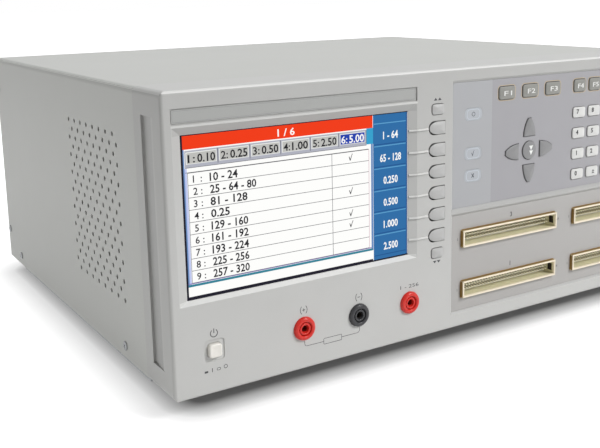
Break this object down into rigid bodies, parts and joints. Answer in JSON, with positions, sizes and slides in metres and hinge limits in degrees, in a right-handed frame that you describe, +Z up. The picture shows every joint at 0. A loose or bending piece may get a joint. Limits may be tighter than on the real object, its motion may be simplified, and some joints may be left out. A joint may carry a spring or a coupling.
{
  "type": "cable harness tester",
  "caption": "Bench cable harness tester: grey instrument case with a display and side keys, a keypad, header connectors for the harness and banana test jacks.",
  "frame": {"origin": "centre of the whole object's footprint, on the surface that the feet stand on", "axes": "+X to the right seen from the front, +Y to the back, +Z up; the front faces -Y"},
  "size_m": [0.4308, 0.3762, 0.189],
  "materials": {
    "frame_plastic": "fine-textured moulded ABS, light warm grey",
    "panel_film": "printed overlay film, cool light grey",
    "display": "lit colour display",
    "indicator": "pale bluish translucent windows",
    "header_plastic": "ivory glass-filled polyester",
    "contact_gold": "gold-plated contacts",
    "jack_red": "red moulded plastic",
    "jack_black": "black moulded plastic",
    "button_ivory": "ivory moulded plastic",
    "key_light": "light grey key caps",
    "key_white": "off-white key caps",
    "key_grey": "mid grey key caps",
    "key_green": "green key cap",
    "key_red": "red key cap",
    "sheet_steel": "powder-coated sheet steel, fine texture",
    "zinc_steel": "zinc-plated steel",
    "rubber": "black rubber",
    "circuit_board": "green solder mask on glass epoxy",
    "black_plastic": "black moulded plastic",
    "transformer": "varnished laminations and winding"
  },
  "bodies": {
    "case": {"front_bezel": "frame_plastic", "lcd_module": "display", "keypad_panel": "panel_film", "connector_panel": "panel_film", "indicator_lenses": "indicator", "header_connectors": "header_plastic", "header_pins": "contact_gold", "red_jacks": "jack_red", "black_jack": "jack_black", "jack_contacts": "contact_gold", "power_switch": "black_plastic", "keypad_board": "circuit_board", "chassis_tray": "zinc_steel", "top_cover": "sheet_steel", "rear_panel": "sheet_steel", "feet": "rubber", "case_screws": "zinc_steel", "main_board": "circuit_board", "relay_boards": "circuit_board", "power_transformer": "transformer", "mains_inlet": "black_plastic", "fan_housing": "black_plastic", "rear_connectors": "zinc_steel"},
    "power_button": {"power_button": "button_ivory"},
    "fan_rotor": {"fan_rotor": "black_plastic"},
    "side_key_1": {"side_key_1": "key_light"},
    "side_key_2": {"side_key_2": "key_light"},
    "side_key_3": {"side_key_3": "key_light"},
    "side_key_4": {"side_key_4": "key_light"},
    "side_key_5": {"side_key_5": "key_light"},
    "side_key_6": {"side_key_6": "key_light"},
    "page_key_top": {"page_key_top": "key_light"},
    "page_key_bottom": {"page_key_bottom": "key_light"},
    "function_key_1": {"function_key_1": "key_grey"},
    "function_key_2": {"function_key_2": "key_grey"},
    "function_key_3": {"function_key_3": "key_grey"},
    "function_key_4": {"function_key_4": "key_grey"},
    "function_key_5": {"function_key_5": "key_grey"},
    "function_key_6": {"function_key_6": "key_grey"},
    "arrow_key_up": {"arrow_key_up": "key_grey"},
    "arrow_key_right": {"arrow_key_right": "key_grey"},
    "arrow_key_down": {"arrow_key_down": "key_grey"},
    "arrow_key_left": {"arrow_key_left": "key_grey"},
    "round_key": {"round_key": "key_grey"},
    "number_key_1": {"number_key_1": "key_white"},
    "number_key_2": {"number_key_2": "key_white"},
    "number_key_3": {"number_key_3": "key_white"},
    "number_key_4": {"number_key_4": "key_white"},
    "number_key_5": {"number_key_5": "key_white"},
    "number_key_6": {"number_key_6": "key_white"},
    "number_key_7": {"number_key_7": "key_white"},
    "number_key_8": {"number_key_8": "key_white"},
    "number_key_9": {"number_key_9": "key_white"},
    "number_key_10": {"number_key_10": "key_white"},
    "number_key_11": {"number_key_11": "key_white"},
    "number_key_12": {"number_key_12": "key_white"},
    "back_key": {"back_key": "key_grey"},
    "enter_key": {"enter_key": "key_grey"},
    "start_key": {"start_key": "key_green"},
    "stop_key": {"stop_key": "key_red"}
  },
  "joints": [
    {"name": "power_button_press", "type": "slide", "parent": "case", "child": "power_button", "axis": [0, 1, 0], "range_m": [0, 0.003], "stiffness_N_per_m": 700},
    {"name": "fan_spin", "type": "hinge", "parent": "case", "child": "fan_rotor", "pos_m": [0.11, 0.1651, 0.117], "axis": [0, 1, 0], "continuous": true},
    {"name": "side_key_1_press", "type": "slide", "parent": "case", "child": "side_key_1", "axis": [0, 1, 0], "range_m": [0, 0.0008], "stiffness_N_per_m": 1200},
    {"name": "side_key_2_press", "type": "slide", "parent": "case", "child": "side_key_2", "axis": [0, 1, 0], "range_m": [0, 0.0008], "stiffness_N_per_m": 1200},
    {"name": "side_key_3_press", "type": "slide", "parent": "case", "child": "side_key_3", "axis": [0, 1, 0], "range_m": [0, 0.0008], "stiffness_N_per_m": 1200},
    {"name": "side_key_4_press", "type": "slide", "parent": "case", "child": "side_key_4", "axis": [0, 1, 0], "range_m": [0, 0.0008], "stiffness_N_per_m": 1200},
    {"name": "side_key_5_press", "type": "slide", "parent": "case", "child": "side_key_5", "axis": [0, 1, 0], "range_m": [0, 0.0008], "stiffness_N_per_m": 1200},
    {"name": "side_key_6_press", "type": "slide", "parent": "case", "child": "side_key_6", "axis": [0, 1, 0], "range_m": [0, 0.0008], "stiffness_N_per_m": 1200},
    {"name": "page_key_top_press", "type": "slide", "parent": "case", "child": "page_key_top", "axis": [0, 1, 0], "range_m": [0, 0.0008], "stiffness_N_per_m": 1200},
    {"name": "page_key_bottom_press", "type": "slide", "parent": "case", "child": "page_key_bottom", "axis": [0, 1, 0], "range_m": [0, 0.0008], "stiffness_N_per_m": 1200},
    {"name": "function_key_1_press", "type": "slide", "parent": "case", "child": "function_key_1", "axis": [0, 1, 0], "range_m": [0, 0.0008], "stiffness_N_per_m": 1200},
    {"name": "function_key_2_press", "type": "slide", "parent": "case", "child": "function_key_2", "axis": [0, 1, 0], "range_m": [0, 0.0008], "stiffness_N_per_m": 1200},
    {"name": "function_key_3_press", "type": "slide", "parent": "case", "child": "function_key_3", "axis": [0, 1, 0], "range_m": [0, 0.0008], "stiffness_N_per_m": 1200},
    {"name": "function_key_4_press", "type": "slide", "parent": "case", "child": "function_key_4", "axis": [0, 1, 0], "range_m": [0, 0.0008], "stiffness_N_per_m": 1200},
    {"name": "function_key_5_press", "type": "slide", "parent": "case", "child": "function_key_5", "axis": [0, 1, 0], "range_m": [0, 0.0008], "stiffness_N_per_m": 1200},
    {"name": "function_key_6_press", "type": "slide", "parent": "case", "child": "function_key_6", "axis": [0, 1, 0], "range_m": [0, 0.0008], "stiffness_N_per_m": 1200},
    {"name": "arrow_key_up_press", "type": "slide", "parent": "case", "child": "arrow_key_up", "axis": [0, 1, 0], "range_m": [0, 0.0008], "stiffness_N_per_m": 1200},
    {"name": "arrow_key_right_press", "type": "slide", "parent": "case", "child": "arrow_key_right", "axis": [0, 1, 0], "range_m": [0, 0.0008], "stiffness_N_per_m": 1200},
    {"name": "arrow_key_down_press", "type": "slide", "parent": "case", "child": "arrow_key_down", "axis": [0, 1, 0], "range_m": [0, 0.0008], "stiffness_N_per_m": 1200},
    {"name": "arrow_key_left_press", "type": "slide", "parent": "case", "child": "arrow_key_left", "axis": [0, 1, 0], "range_m": [0, 0.0008], "stiffness_N_per_m": 1200},
    {"name": "round_key_press", "type": "slide", "parent": "case", "child": "round_key", "axis": [0, 1, 0], "range_m": [0, 0.0008], "stiffness_N_per_m": 1200},
    {"name": "number_key_1_press", "type": "slide", "parent": "case", "child": "number_key_1", "axis": [0, 1, 0], "range_m": [0, 0.0008], "stiffness_N_per_m": 1200},
    {"name": "number_key_2_press", "type": "slide", "parent": "case", "child": "number_key_2", "axis": [0, 1, 0], "range_m": [0, 0.0008], "stiffness_N_per_m": 1200},
    {"name": "number_key_3_press", "type": "slide", "parent": "case", "child": "number_key_3", "axis": [0, 1, 0], "range_m": [0, 0.0008], "stiffness_N_per_m": 1200},
    {"name": "number_key_4_press", "type": "slide", "parent": "case", "child": "number_key_4", "axis": [0, 1, 0], "range_m": [0, 0.0008], "stiffness_N_per_m": 1200},
    {"name": "number_key_5_press", "type": "slide", "parent": "case", "child": "number_key_5", "axis": [0, 1, 0], "range_m": [0, 0.0008], "stiffness_N_per_m": 1200},
    {"name": "number_key_6_press", "type": "slide", "parent": "case", "child": "number_key_6", "axis": [0, 1, 0], "range_m": [0, 0.0008], "stiffness_N_per_m": 1200},
    {"name": "number_key_7_press", "type": "slide", "parent": "case", "child": "number_key_7", "axis": [0, 1, 0], "range_m": [0, 0.0008], "stiffness_N_per_m": 1200},
    {"name": "number_key_8_press", "type": "slide", "parent": "case", "child": "number_key_8", "axis": [0, 1, 0], "range_m": [0, 0.0008], "stiffness_N_per_m": 1200},
    {"name": "number_key_9_press", "type": "slide", "parent": "case", "child": "number_key_9", "axis": [0, 1, 0], "range_m": [0, 0.0008], "stiffness_N_per_m": 1200},
    {"name": "number_key_10_press", "type": "slide", "parent": "case", "child": "number_key_10", "axis": [0, 1, 0], "range_m": [0, 0.0008], "stiffness_N_per_m": 1200},
    {"name": "number_key_11_press", "type": "slide", "parent": "case", "child": "number_key_11", "axis": [0, 1, 0], "range_m": [0, 0.0008], "stiffness_N_per_m": 1200},
    {"name": "number_key_12_press", "type": "slide", "parent": "case", "child": "number_key_12", "axis": [0, 1, 0], "range_m": [0, 0.0008], "stiffness_N_per_m": 1200},
    {"name": "back_key_press", "type": "slide", "parent": "case", "child": "back_key", "axis": [0, 1, 0], "range_m": [0, 0.0008], "stiffness_N_per_m": 1200},
    {"name": "enter_key_press", "type": "slide", "parent": "case", "child": "enter_key", "axis": [0, 1, 0], "range_m": [0, 0.0008], "stiffness_N_per_m": 1200},
    {"name": "start_key_press", "type": "slide", "parent": "case", "child": "start_key", "axis": [0, 1, 0], "range_m": [0, 0.0008], "stiffness_N_per_m": 1200},
    {"name": "stop_key_press", "type": "slide", "parent": "case", "child": "stop_key", "axis": [0, 1, 0], "range_m": [0, 0.0008], "stiffness_N_per_m": 1200}
  ]
}
